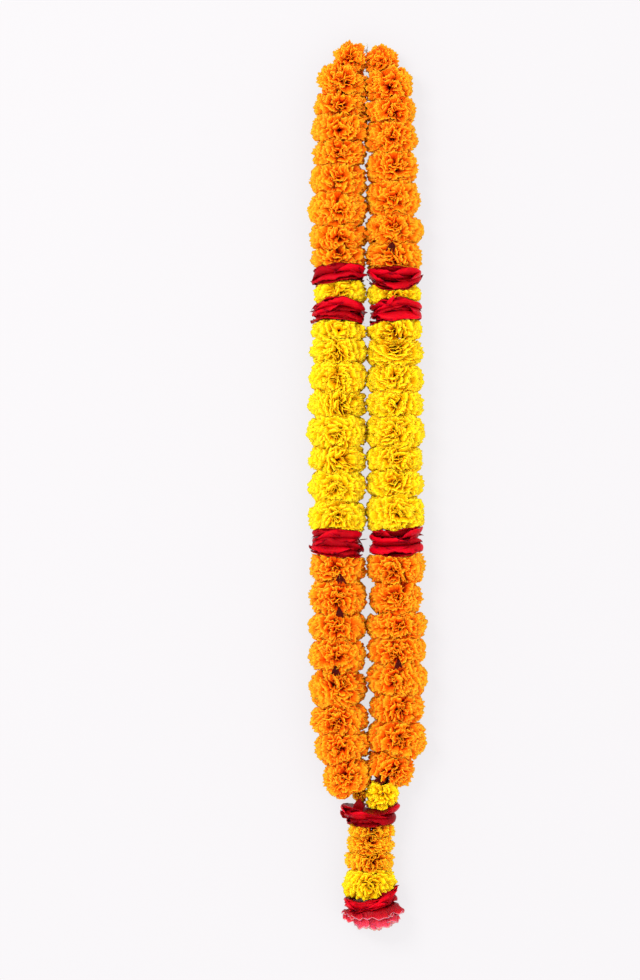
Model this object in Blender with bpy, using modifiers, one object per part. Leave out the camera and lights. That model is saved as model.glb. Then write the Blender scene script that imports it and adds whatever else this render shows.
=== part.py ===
"""A marigold garland lying on a flat surface: one loop of threaded flower heads with a tassel.

Metres, +Z up. The surface is z = 0, the loop's top is towards +Y and the tassel towards -Y.
Each head, petal band and the thread is its own closed solid. A cotton thread runs through all of
them, and the heads and bands are turned about it and pressed flat where they rest on the surface.
"""

import math

import bpy
from mathutils import Vector

MM = 0.001

# The thread and the holes it runs through.
THREAD_DIAMETER = 1.2 * MM
HOLE_RADIUS = 2.0 * MM
TASSEL_HOLE_RADIUS = 4 * MM
DOUBLED_THREAD_SPREAD = 1.2 * MM  # half the distance between the two runs in the tassel
THREAD_END = 9 * MM  # the cut end that stands out of the knot at the top
KNOT_TUCK = 1 * MM  # how far the knot lies below the first heads' marks
KNOT_HALF = 1.6 * MM  # half the knot's width
TURN_BACK = 3 * MM  # how far above the tassel's end the thread turns back

GAP = 0.7 * MM  # between one piece and the next along the thread
SIDES = 12  # of every turned piece
STRAND_HEIGHT = 25 * MM  # of the thread above the surface, in both strands
TASSEL_HEIGHT = 22 * MM
TOP_HEIGHT = 18 * MM

# The route of the thread through each strand and the tassel, (x, y) in mm, smoothed below.
LEFT_ROUTE = ((-13, 450), (-22, 430), (-28, 413), (-29, 330), (-30.5, 270), (-28.5, 205),
              (-29.3, 150), (-31, 60), (-30.5, -140), (-30, -230), (-26.5, -268), (-23, -298),
              (-16, -318), (-8, -326))
RIGHT_ROUTE = ((12.5, 447), (21.5, 427), (26.5, 410), (27, 330), (29, 240), (30, 60),
               (31, -60), (32, -170), (33, -240), (33.5, -264), (30, -286), (23, -303),
               (18, -314), (16, -325))
TASSEL_ROUTE = ((4, -329.5), (5, -351), (4, -381), (2, -406), (6, -431), (8, -458.5))

# Each strand's pieces from the top down: (kind, ((length, diameter), ...)) in mm.
LEFT_PIECES = (
    ("upper_orange", ((22, 35), (28, 50), (21, 51), (28, 56), (25, 54),
                      (29, 57), (32, 59), (23, 58), (19, 54))),
    ("red_band", ((18, 54),)),
    ("yellow_spacer", ((19, 52),)),
    ("red_band", ((21, 54),)),
    ("yellow_pair", ((17, 54), (25, 57), (29, 58), (26, 58), (32, 59), (25, 58), (31, 56), (29, 56))),
    ("red_band", ((27, 51),)),
    ("lower_orange", ((26, 55), (33, 57), (28, 57), (32, 56), (35, 56), (29, 57), (29, 53), (33, 48))),
)
RIGHT_PIECES = (
    ("upper_orange", ((22, 33), (29, 49), (25, 50), (31, 50), (30, 53), (35, 54), (29, 58), (25, 56))),
    ("red_band", ((19, 53),)),
    ("yellow_spacer", ((15, 52),)),
    ("red_band", ((21, 52),)),
    ("yellow_pair", ((17, 55), (28, 57), (28, 57), (25, 57), (31, 59), (25, 57), (25, 56), (34, 57))),
    ("red_band", ((27, 52),)),
    ("lower_orange", ((30, 57), (30, 52), (26, 60), (27, 58), (31, 60), (29, 54), (35, 59), (23, 46))),
)
TASSEL_PIECES = (
    ("tassel_red_band", (21, 60)),
    ("tassel_amber_1", (12, 48)),
    ("tassel_amber_2", (17, 47)),
    ("tassel_amber_3", (18, 50)),
    ("tassel_yellow_head", (26, 54)),
    ("tassel_red_petals", (13, 56)),
    ("tassel_pink_petals", (23, 60)),
)
JUNCTION_PIECES = {"left": ("junction_amber_head", 15), "right": ("junction_yellow_head", 34)}
BARE_THREAD = "bare thread"
TOP_BARE_THREAD = 2 * MM  # under the small leaning head at the top of each strand

# Shapes of the turned pieces, as shares of their radius and length.
HEAD_END = 0.6  # radius of a head's flat end
HEAD_SHOULDER = 0.3  # how far in from its end a head reaches its full radius
BAND_GROOVE = 0.9  # radius between two petal layers of a band
PETAL_LAYER = 7 * MM  # rough thickness of one layer of band petals
SKIRT_NECK = 0.55
SKIRT_FOLD = 0.7
SKIRT_RIM = 0.96

# The block that presses the pieces flat: wider and longer than the garland, with its top at z = 0.
GROUND_SIZE = (0.4, 1.4, 0.1)

COLOURS = {
    "orange_petals": (0.83, 0.24, 0.006),
    "yellow_petals": (0.90, 0.62, 0.008),
    "amber_petals": (0.80, 0.37, 0.01),
    "red_petals": (0.38, 0.004, 0.012),
    "pink_petals": (0.72, 0.05, 0.10),
    "cotton_thread": (0.55, 0.53, 0.48),
}
PETAL_ROUGHNESS = 0.6


def clear_scene():
    for obj in list(bpy.data.objects):
        bpy.data.objects.remove(obj)


def new_collection(name):
    collection = bpy.data.collections.new(name)
    bpy.context.scene.collection.children.link(collection)
    return collection


def petal_material(name):
    found = bpy.data.materials.get(name)
    if found:
        return found
    material = bpy.data.materials.new(name)
    material.use_nodes = True
    shader = material.node_tree.nodes["Principled BSDF"]
    shader.inputs["Base Color"].default_value = (*COLOURS[name], 1)
    shader.inputs["Roughness"].default_value = PETAL_ROUGHNESS
    shader.inputs["Metallic"].default_value = 0
    return material


def kind_of_material(name):
    for word in ("orange", "yellow", "amber", "red", "pink"):
        if word in name:
            return petal_material(word + "_petals")
    return petal_material("cotton_thread")


def ground_cutter(collection):
    """A block under the surface, which takes off what a piece would push below it."""
    bpy.ops.mesh.primitive_cube_add(size=1, location=(0, 0, -0.5 * GROUND_SIZE[2]))
    cutter = bpy.context.object
    cutter.name = "ground_cutter"
    cutter.scale = GROUND_SIZE
    bpy.ops.object.transform_apply(location=False, rotation=False, scale=True)
    for owner in list(cutter.users_collection):
        owner.objects.unlink(cutter)
    collection.objects.link(cutter)
    cutter.hide_render = True
    cutter.display_type = "WIRE"
    return cutter


def smooth_point(points, share):
    """The point at share (0 to 1) of a Catmull-Rom curve through points."""
    place = min(share, 0.999999) * (len(points) - 1)
    index = int(place)
    t = place - index
    before = points[max(index - 1, 0)]
    here = points[index]
    there = points[index + 1]
    after = points[min(index + 2, len(points) - 1)]
    return 0.5 * (2 * here + (there - before) * t
                  + (2 * before - 5 * here + 4 * there - after) * t * t
                  + (3 * here - before - 3 * there + after) * t ** 3)


def route_curve(route, heights):
    """Finely spaced points along a route, with the thread's height going from one value to the next."""
    points = [Vector((x * MM, y * MM, 0)) for x, y in route]
    for point, height in zip(points, heights):
        point.z = height
    steps = 40 * (len(points) - 1)
    return [smooth_point(points, step / steps) for step in range(steps + 1)]


def strand_heights(route):
    """The thread is low at the loop's top and at the tassel, and level in between."""
    heights = [STRAND_HEIGHT] * len(route)
    heights[0] = TOP_HEIGHT
    heights[1] = 0.5 * (TOP_HEIGHT + STRAND_HEIGHT)
    heights[-1] = TASSEL_HEIGHT
    return heights


def walk(curve, lengths):
    """The points of the curve at the running sums of lengths."""
    marks = [curve[0].copy()]
    wanted = [sum(lengths[:i + 1]) for i in range(len(lengths))]
    gone = 0.0
    for here, there in zip(curve, curve[1:]):
        step = (there - here).length
        while wanted and gone + step >= wanted[0]:
            marks.append(here.lerp(there, (wanted.pop(0) - gone) / step))
        gone += step
    while wanted:
        wanted.pop()
        marks.append(curve[-1].copy())
    return marks


def head_outline(radius, start, length):
    """The outer side of one flower head as (radius, place along the thread), from its top down."""
    shoulder = HEAD_SHOULDER * length
    return [(HEAD_END * radius, start), (radius, start - shoulder),
            (radius, start - length + shoulder), (HEAD_END * radius, start - length)]


def pair_outline(radii, lengths):
    """Two heads pressed together, with the waist between them."""
    upper = head_outline(radii[0], 0.5 * sum(lengths), lengths[0])
    lower = head_outline(radii[1], 0.5 * sum(lengths) - lengths[0], lengths[1])
    return upper + lower[1:]


def band_outline(radius, length):
    """A stack of petal layers: the rim of each stands out, with a groove to the next."""
    layers = max(2, round(length / PETAL_LAYER))
    outline = [(BAND_GROOVE * radius, 0.5 * length)]
    for layer in range(layers):
        middle = 0.5 * length - (layer + 0.5) * length / layers
        outline += [(radius, middle), (BAND_GROOVE * radius, middle - 0.5 * length / layers)]
    return outline


def skirt_outline(radius, length):
    """A flare that opens towards its lower rim."""
    return [(SKIRT_NECK * radius, 0.5 * length), (SKIRT_FOLD * radius, 0.2 * length),
            (radius, -0.35 * length), (SKIRT_RIM * radius, -0.5 * length)]


def turned_piece(name, outline, start, end, hole, collection):
    """The outline turned about the line from start (its top) to end, with a hole for the thread."""
    top, bottom = outline[0][1], outline[-1][1]
    profile = outline + [(hole, bottom), (hole, top)]
    mesh = bpy.data.meshes.new(name)
    count = len(profile)
    mesh.from_pydata([(r, 0, z) for r, z in profile], [(i, (i + 1) % count) for i in range(count)], [])
    piece = bpy.data.objects.new(name, mesh)
    collection.objects.link(piece)
    mesh.materials.append(kind_of_material(name))
    piece.location = (start + end) / 2
    piece.rotation_mode = "QUATERNION"
    piece.rotation_quaternion = (start - end).to_track_quat("Z", "Y")
    screw = piece.modifiers.new("turn", "SCREW")
    screw.axis = "Z"
    screw.angle = 2 * math.pi
    screw.steps = SIDES
    screw.render_steps = SIDES
    screw.use_merge_vertices = True
    screw.merge_threshold = 0.01 * MM
    screw.use_smooth_shade = True
    return piece


def press_flat(piece, cutter):
    """Takes off what would be below the surface."""
    cut = piece.modifiers.new("rest", "BOOLEAN")
    cut.operation = "DIFFERENCE"
    cut.object = cutter


def strand_plan(side, pieces):
    """One (node name, lengths, radii) for each node of a strand, from the top down."""
    plan, bands = [], 0
    for kind, sizes in pieces:
        if kind == "red_band":
            bands += 1
            plan.append((f"red_band_{side}_{bands}", *size_lists(sizes)))
        elif kind == "yellow_spacer":
            plan.append((f"yellow_spacer_{side}", *size_lists(sizes)))
        elif kind == "yellow_pair":
            for i in range(0, len(sizes), 2):
                plan.append((f"yellow_pair_{side}_{i // 2 + 1}", *size_lists(sizes[i:i + 2])))
        else:
            for i, size in enumerate(sizes):
                plan.append((f"{kind}_{side}_{i + 1}", *size_lists((size,))))
    return plan


def size_lists(sizes):
    return [length * MM for length, _ in sizes], [diameter * MM / 2 for _, diameter in sizes]


def outline_for(name, lengths, radii, room):
    """The outline of a node that has room (its length less the gaps) along the thread."""
    shrink = room / sum(lengths)
    lengths = [length * shrink for length in lengths]
    if "band" in name or name == "tassel_red_petals":
        return band_outline(radii[0], lengths[0])
    if name == "tassel_pink_petals":
        return skirt_outline(radii[0], lengths[0])
    if len(lengths) == 2:
        return pair_outline(radii, lengths)
    return head_outline(radii[0], 0.5 * lengths[0], lengths[0])


def mitre(radius, along, other):
    """How far two flat ends of this radius draw back where the thread bends between them."""
    return GAP / 2 + HEAD_END * radius * math.tan(along.angle(other) / 2)


def thread_pieces(plan, marks, hole, collection, cutter):
    """Each node of a plan between its two marks on the thread, clear of its neighbours."""
    ways = [(below - above).normalized() for above, below in zip(marks, marks[1:])]
    for i, (name, lengths, radii) in enumerate(plan):
        if name == BARE_THREAD:
            continue
        start = marks[i] + ways[i] * mitre(max(radii), ways[i], ways[max(i - 1, 0)])
        end = marks[i + 1] - ways[i] * mitre(max(radii), ways[i], ways[min(i + 1, len(ways) - 1)])
        outline = outline_for(name, lengths, radii, (end - start).length)
        piece = turned_piece(name, outline, start, end, hole, collection)
        if max(radii) > min(start.z, end.z):
            press_flat(piece, cutter)


def strand(side, route, pieces, collection, cutter):
    """Every piece of one strand and its junction head. It returns the thread's points, top down."""
    curve = route_curve(route, strand_heights(route))
    plan = strand_plan(side, pieces)
    plan.insert(1, (BARE_THREAD, [TOP_BARE_THREAD], [0]))
    marks = walk(curve, [sum(lengths) for _, lengths, _ in plan]) + [curve[-1].copy()]
    name, diameter = JUNCTION_PIECES[side]
    plan.append((name, [(marks[-1] - marks[-2]).length], [diameter * MM / 2]))
    thread_pieces(plan, marks, HOLE_RADIUS, collection, cutter)
    return marks


def tassel(collection, cutter):
    """The pieces under the junction. It returns the tassel's marks from the top down."""
    curve = route_curve(TASSEL_ROUTE, [TASSEL_HEIGHT] * len(TASSEL_ROUTE))
    plan = [(name, *size_lists([size])) for name, size in TASSEL_PIECES]
    marks = walk(curve, [sum(lengths) for _, lengths, _ in plan])
    thread_pieces(plan, marks, TASSEL_HOLE_RADIUS, collection, cutter)
    return marks


def thread(left, right, middle, collection):
    """One thread: its cut end, the left strand, down the tassel, back up it and up the right strand."""
    knot = Vector((0, left[0].y - KNOT_TUCK, TOP_HEIGHT))
    shift = Vector((DOUBLED_THREAD_SPREAD, 0, 0))
    turn_back = middle[-1] + Vector((0, TURN_BACK, 0))
    points = [knot + Vector((-0.07 * THREAD_END, THREAD_END, 0)),
              knot + Vector((0.03 * THREAD_END, 0.5 * THREAD_END, 0)),
              knot + Vector((-0.6 * KNOT_HALF, 0.4 * KNOT_HALF, 0))]
    points += left
    points += [point - shift for point in middle[:-1]]
    points += [turn_back - shift, turn_back + shift]
    points += [point + shift for point in reversed(middle[:-1])]
    points += list(reversed(right))
    points += [knot + Vector((KNOT_HALF, -0.4 * KNOT_HALF, 0))]
    curve = bpy.data.curves.new("garland_thread", "CURVE")
    curve.dimensions = "3D"
    curve.bevel_depth = THREAD_DIAMETER / 2
    curve.bevel_resolution = 2
    curve.use_fill_caps = True
    spline = curve.splines.new("POLY")
    spline.points.add(len(points) - 1)
    for slot, point in zip(spline.points, points):
        slot.co = (*point, 1)
    curve.materials.append(kind_of_material("garland_thread"))
    piece = bpy.data.objects.new("garland_thread", curve)
    collection.objects.link(piece)


def stand_over_origin(collection):
    """Parents every piece to one empty, placed so that the whole garland is centred over the origin."""
    bpy.context.view_layer.update()
    graph = bpy.context.evaluated_depsgraph_get()
    corners = []
    for piece in collection.objects:
        shown = piece.evaluated_get(graph)
        mesh = shown.to_mesh()
        corners += [shown.matrix_world @ vertex.co for vertex in mesh.vertices]
        shown.to_mesh_clear()
    low = [min(corner[i] for corner in corners) for i in range(2)]
    high = [max(corner[i] for corner in corners) for i in range(2)]
    middle = Vector(((low[0] + high[0]) / 2, (low[1] + high[1]) / 2, 0))
    root = bpy.data.objects.new("garland_frame", None)
    for piece in list(collection.objects):
        piece.parent = root
    collection.objects.link(root)
    root.location = -middle


def main():
    clear_scene()
    garland = new_collection("marigold_garland")
    cutters = new_collection("cutters")
    cutter = ground_cutter(cutters)
    left = strand("left", LEFT_ROUTE, LEFT_PIECES, garland, cutter)
    right = strand("right", RIGHT_ROUTE, RIGHT_PIECES, garland, cutter)
    middle = tassel(garland, cutter)
    thread(left, right, middle, garland)
    stand_over_origin(garland)


main()
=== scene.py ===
"""The looks of the marigold garland: every petal, petal band and thread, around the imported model.

The garland lies on a pale floor and the camera looks straight down at it, with the loop's top at the
top of the picture. Each flower head is a ball of thin ruffled petals that grow from the thread. A
head keeps to its own space: it is squeezed between wavy faces shared with its two neighbours,
pressed flat on the floor, and held to a few millimetres past its CAD solid's radius.
"""

import math
from collections import namedtuple

import bpy
import numpy as np
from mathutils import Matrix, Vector


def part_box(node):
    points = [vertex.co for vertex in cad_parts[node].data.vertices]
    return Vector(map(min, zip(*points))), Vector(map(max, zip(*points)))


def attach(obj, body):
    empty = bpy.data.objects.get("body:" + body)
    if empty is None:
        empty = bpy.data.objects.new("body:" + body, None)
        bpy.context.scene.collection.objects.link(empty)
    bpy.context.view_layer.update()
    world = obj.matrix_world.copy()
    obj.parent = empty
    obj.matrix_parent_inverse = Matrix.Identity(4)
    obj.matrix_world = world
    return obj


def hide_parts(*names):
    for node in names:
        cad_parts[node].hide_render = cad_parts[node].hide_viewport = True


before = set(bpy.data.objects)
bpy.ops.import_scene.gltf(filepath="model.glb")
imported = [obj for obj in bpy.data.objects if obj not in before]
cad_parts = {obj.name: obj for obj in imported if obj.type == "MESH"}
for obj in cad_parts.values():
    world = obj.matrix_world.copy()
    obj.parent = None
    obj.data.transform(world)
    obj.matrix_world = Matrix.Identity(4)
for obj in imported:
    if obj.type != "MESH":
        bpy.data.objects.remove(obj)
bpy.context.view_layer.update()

MM = 0.001
FULL_TURN = 2 * math.pi
TINY = 1e-6  # the least length or share that is divided by
BODY = "root"

HOLE_CORNERS = 24  # the corners of a piece's thread hole, twelve round each of its ends
FLOOR_CLEARANCE = 0.25 * MM  # between the undermost petals and the floor
SHEET_CLEARANCE = 0.22 * MM  # between petals of neighbouring pieces
SEAM_SQUEEZE = 1.2 * MM  # how near to a neighbour petals begin to give way
FLOOR_SQUEEZE = 4 * MM
RIM_SQUEEZE = 1.5 * MM  # how near to a head's outline its petal tips begin to give way
OVERREACH = 4 * MM  # how far past a head's ends its petals may go, where its neighbour leaves room
SIDE_VALLEY = 8.5 * MM  # how deep the valley between two heads 28 mm long is at their sides
TOP_VALLEY = 2.2 * MM  # and on top, where their petals mix
BAND_VALLEY = 2.5 * MM  # and beside a band
VALLEY_HALF_LENGTH = 14 * MM
VALLEY_GROWTH = 1.8  # the power by which the valleys of longer heads are deeper
ROUND_END = 0.35  # the deepest that an outline falls at its ends, as a share of its radius
FALL_POWER = 2.2  # by which an outline falls from its middle to its ends
FALL_END = 1.4  # how many half lengths from its middle it falls
OUTER_SPARE = 3.0 * MM  # how far petals may go past a head's radius
INNER_SPARE = 5.0 * MM  # and towards the other strand
TOUCHING_SPARE = 9.0 * MM  # where the two strands touch
INNER_REACH = 0.13  # how much longer the petals towards the other strand are
TOUCHING_REACH = 0.30
WAVE = 4.6 * MM  # how far the face between two heads swings
BAND_WAVE = 1.8 * MM
SEAM_WAVES = 3
SEAM_RATES = (220, 420)  # the range of its waves, in radians for each metre
DIVIDE_WAVE = 1.1 * MM  # how far the face between the strands swings along them
DIVIDE_SLANT = 2.2 * MM  # and in finer waves that run slantwise, so that no light falls through
DIVIDE_RATE = 330
SLANT_RATES = (760, 240)  # along the strands and up
DIVIDE_SQUEEZE = 0.8 * MM
# How far each strand's last head is moved: forward along the thread, to the right and up.
JUNCTION_LEAN = {"left": (0, 5 * MM, 2 * MM), "right": (6 * MM, -1 * MM, 5 * MM)}
LAST_ORANGE_STRETCH = 5 * MM  # how much further down each strand's last orange head reaches
TOUCH_ABOVE, TOUCH_BELOW = 0.36, -0.25  # the strands' heads touch past these places along Y
NECK_DIP = 9 * MM  # how far the junction's head spills over the tassel's first band
NECK_DIP_WIDTH = 20 * MM
BEND_END = 1.2  # how many half widths from the thread a bent edge goes on

# One piece on the thread: its name, its kind, the CAD node it stands for, the middle of its two
# ends on the thread, its radius, and how far its outline falls towards each of its neighbours.
Place = namedtuple("Place", "name kind node start end radius valleys")
# The wavy face between two pieces: a point, the way along the thread, its waves, and its bend over
# a half width (see BENDS). Over its dip, if any, the piece above spills down over the one below.
Seam = namedtuple("Seam", "point normal height waves bend width dip")
# How a band's upper and lower edges are bent, in mm: how far up the thread the middle of an edge is
# from its ends, and how far up its right end is from its left.
BENDS = {
    "red_band_left_1": ((5, 1), (3, 5)),
    "red_band_right_1": ((3, -2), (-11, 1)),
    "red_band_left_2": ((9, 0), (4, -2)),
    "red_band_right_2": ((6, 4), (1, 7)),
    "red_band_left_3": ((3, -2), (-2, -5)),
    "red_band_right_3": ((-2, 5), (-4, 3)),
    "tassel_red_band": ((-2, 0), (-2, 0)),
    "tassel_red_petals": ((-7, 6), (-3, 6)),
}
STRAIGHT = ((0, 0), (0, 0))


# ---------------------------------------------------------------- places, from the CAD frame

def unit(vector):
    return vector / np.linalg.norm(vector)


def units(vectors, least=0):
    """Each of many vectors made one long, but for those shorter than the least length."""
    return vectors / np.maximum(np.linalg.norm(vectors, axis=-1, keepdims=True), least)


def swung(angle, first, second):
    """Unit vectors at angles from the first way towards the second."""
    return np.cos(angle)[..., None] * first + np.sin(angle)[..., None] * second


def length_of(place):
    return np.linalg.norm(place.end - place.start)


def middle_of(place):
    return (place.start + place.end) / 2


def axes_of(place):
    """The way along the thread, a sideways and an upward way across it."""
    way = unit(place.end - place.start)
    up = unit(np.array([0, 0, 1]) - way[2] * way)
    return way, np.cross(way, up), up


def node_corners(node):
    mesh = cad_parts[node].data
    corners = np.empty(3 * len(mesh.vertices))
    mesh.vertices.foreach_get("co", corners)
    return np.unique(np.round(corners.reshape(-1, 3), 6), axis=0)


def box_middle(node):
    low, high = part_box(node)
    return (np.array(low) + np.array(high)) / 2


def distance_from_line(points, middle, way):
    offset = points - middle
    return np.linalg.norm(offset - np.outer(offset @ way, way), axis=1)


def hole_ends(node, way):
    """Where the thread enters and leaves a piece: the middles of the two ends of its hole."""
    corners = node_corners(node)
    middle = box_middle(node)
    nearest = np.argsort(distance_from_line(corners, middle, way))[:HOLE_CORNERS]
    hole = corners[nearest]
    along = (hole - middle) @ way
    return hole[along < 0].mean(axis=0), hole[along >= 0].mean(axis=0)


SHARE_SLACK = 0.01
WAIST_SPAN = (0.3, 0.7)  # where the waist of two heads is looked for


def share_along(points, start, end):
    """How far along the way from start to end points are, 0 to 1."""
    return (points - start) @ unit(end - start) / np.linalg.norm(end - start)


def widest(corners, start, end, low, high):
    """The greatest distance from the thread of the corners between two shares of the way."""
    share = share_along(corners, start, end)
    inside = (share > low - SHARE_SLACK) & (share < high + SHARE_SLACK)
    return distance_from_line(corners[inside], start, unit(end - start)).max()


def waist(corners, start, end):
    """How far along two heads pressed into one solid its waist is."""
    share = share_along(corners, start, end)
    out = distance_from_line(corners, start, unit(end - start))
    middle = np.flatnonzero((share > WAIST_SPAN[0]) & (share < WAIST_SPAN[1]))
    return share[middle[np.argmin(out[middle])]]


def kind_of(node):
    for kind in ("orange", "amber", "pink"):
        if kind in node:
            return kind
    return "yellow" if "yellow" in node else "red"


def places_on(nodes):
    """Every flower head and band along one run of the thread, from its top down."""
    middles = [box_middle(node) for node in nodes]
    places = []
    for i, node in enumerate(nodes):
        way = unit(middles[min(i + 1, len(nodes) - 1)] - middles[max(i - 1, 0)])
        start, end = hole_ends(node, way)
        corners = node_corners(node)
        if "pair" not in node:
            radius = widest(corners, start, end, 0, 1)
            places.append(Place(node, kind_of(node), node, start, end, radius, None))
            continue
        share = waist(corners, start, end)
        turn = start + share * (end - start)
        upper, lower = (widest(corners, start, end, *part) for part in ((0, share), (share, 1)))
        places.append(Place(node + "_a", "yellow", node, start, turn, upper, None))
        places.append(Place(node + "_b", "yellow", node, turn, end, lower, None))
    beside = [None] + places + [None]
    return [place._replace(valleys=(valley(place, above), valley(place, below)))
            for above, place, below in zip(beside, places, beside[2:])]


def valley(place, neighbour):
    """How far a head's outline falls towards a neighbour."""
    round_end = ROUND_END * place.radius
    if neighbour is None:
        return round_end
    if "red" in (place.kind, neighbour.kind):
        return BAND_VALLEY
    share = length_of(place) / 2 / VALLEY_HALF_LENGTH
    return min(round_end, SIDE_VALLEY * min(1, share) ** VALLEY_GROWTH)


def numbered(kind, side, count):
    return [f"{kind}_{side}_{i + 1}" for i in range(count)]


def strand_nodes(side, uppers, lowers):
    bands = numbered("red_band", side, 3)
    return (numbered("upper_orange", side, uppers) + [bands[0], f"yellow_spacer_{side}", bands[1]]
            + numbered("yellow_pair", side, 4) + [bands[2]] + numbered("lower_orange", side, lowers))


def seam_between(above, below, rng):
    """The wavy face that two neighbours share, so that their petals interlock but never cross."""
    way = unit(unit(above.end - above.start) + unit(below.end - below.start))
    height = BAND_WAVE if "red" in (above.kind, below.kind) else WAVE
    waves = [(rng.uniform(*SEAM_RATES), rng.uniform(0, FULL_TURN), rng.uniform(0, FULL_TURN))
             for _ in range(SEAM_WAVES)]
    bend = BENDS[above.name][1] if above.name in BENDS else BENDS.get(below.name, STRAIGHT)[0]
    width = max(above.radius, below.radius)
    return Seam((above.end + below.start) / 2, way, height, waves, bend, width, None)


def neck_seam(band, spilling):
    """The face on top of the tassel's first band, over which the junction's head spills."""
    way = unit(band.end - band.start)
    across = (spilling.end - band.start) @ unit(np.cross([0, 0, 1], way))
    dip = (across, NECK_DIP_WIDTH, NECK_DIP)
    return Seam(band.start, way, 0, [(1, 0, 0)], BENDS[band.name][0], band.radius, dip)


def seams_along(places, rng):
    """The faces above and below each place; the first and the last place are free at one end."""
    between = [seam_between(above, below, rng) for above, below in zip(places, places[1:])]
    return list(zip([None] + between, between + [None]))


# ---------------------------------------------------------------- keeping petals in their space

def given_way(depth, margin):
    """Depths inside a limit, squeezed from margin inwards so that none goes past it."""
    return np.where(depth > margin, depth, margin * np.exp(np.minimum(depth / margin, 1) - 1))


def behind_seam(points, seam, side):
    """Holds points on one side (-1 above, 1 below) of a seam."""
    swing = sum(np.sin(rate * (math.cos(turn) * points[..., 0] + math.sin(turn) * points[..., 2]) + phase)
                for rate, turn, phase in seam.waves) / len(seam.waves)
    offset = points - seam.point
    across = offset @ unit(np.cross([0, 0, 1], seam.normal))
    level = seam.height * swing + bent(seam.bend, across / seam.width)
    if seam.dip:
        place, width, depth = seam.dip
        raised = np.clip(offset[..., 2] / seam.width, 0, 1)
        level = level + depth * raised * np.exp(-((across - place) / width) ** 2)
    depth = side * (offset @ seam.normal - level) - SHEET_CLEARANCE
    return points + (side * (given_way(depth, SEAM_SQUEEZE) - depth))[..., None] * seam.normal


def bent(edge, share):
    """How far down the thread a bent edge is at a share of its half width, -1 left and 1 right."""
    arch, tilt = edge
    share = np.clip(share, -BEND_END, BEND_END)
    return -MM * (arch * (0.5 - share ** 2) + 0.5 * tilt * share)


def beside_divide(points, inward):
    """Holds a strand's points on its own side of the face between the two strands."""
    along, up = SLANT_RATES
    wave = DIVIDE_WAVE * np.sin(DIVIDE_RATE * points[..., 1] + 1)
    wave = wave + DIVIDE_SLANT * np.sin(along * points[..., 1] + up * points[..., 2])
    divide = 0.5 * (EDGES["left"](points[..., 1]) + EDGES["right"](points[..., 1])) + wave
    depth = inward * (divide - points[..., 0]) - SHEET_CLEARANCE
    held = points.copy()
    held[..., 0] = points[..., 0] - inward * (given_way(depth, DIVIDE_SQUEEZE) - depth)
    return held


def inner_edge(places, inward):
    """The x of a strand's inner edge at any y, from its pieces' radii."""
    middles = np.array([middle_of(place) for place in places])[::-1]
    radii = np.array([place.radius for place in places])[::-1]
    return lambda y: np.interp(y, middles[:, 1], middles[:, 0] + inward * radii)


def inward_of(place):
    """The way to the other strand: 1 or -1 along X, and 0 for the tassel."""
    return {"left": 1, "right": -1}.get(STRAND_OF.get(place.name), 0)


def touching(place):
    """Whether a head is where the two strands' heads touch all along."""
    return not TOUCH_BELOW < place.start[1] < TOUCH_ABOVE


def over_floor(points):
    depth = points[..., 2] - FLOOR_CLEARANCE
    held = points.copy()
    held[..., 2] = FLOOR_CLEARANCE + given_way(depth, FLOOR_SQUEEZE)
    return held


def outline_radius(place, along, upness):
    """A head's radius at a distance from its middle along the thread: full in the middle, and round
    towards its neighbours like the rim of a tyre. upness is 1 on top and 0 at the sides."""
    half = length_of(place) / 2
    fall = np.where(along < 0, *place.valleys)
    fall = fall + (np.minimum(TOP_VALLEY, fall) - fall) * upness
    return place.radius - fall * np.minimum(np.abs(along) / half, FALL_END) ** FALL_POWER


def within_outline(points, place, outline=outline_radius):
    """Holds points to a little past the outline, and to further past it towards the other strand."""
    way, _, up = axes_of(place)
    offset = points - middle_of(place)
    level = offset @ way
    out = offset - level[..., None] * way
    distance = np.maximum(np.linalg.norm(out, axis=-1), TINY)
    inner = np.clip(inward_of(place) * out[..., 0] / distance, 0, 1)
    inner_spare = TOUCHING_SPARE if touching(place) else INNER_SPARE
    spare = OUTER_SPARE + (inner_spare - OUTER_SPARE) * inner
    limit = outline(place, level, np.clip(out @ up / distance, 0, 1)) + spare
    held = limit - given_way(limit - distance, RIM_SQUEEZE)
    return points + out * (held / distance - 1)[..., None]


def keep_in_place(points, place, seams, outline=outline_radius):
    points = within_outline(points, place, outline)
    for seam, side in zip(seams, (1, -1)):
        if seam:
            points = behind_seam(points, seam, side)
    if inward_of(place):
        points = beside_divide(points, inward_of(place))
    return over_floor(points)


# ---------------------------------------------------------------- thin closed sheets

PETAL_THICKNESS = 0.4 * MM
BAKE_MARGIN = 0.06  # round each petal's cell of the map that colours are baked into
NO_AREA = 1e-12


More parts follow.
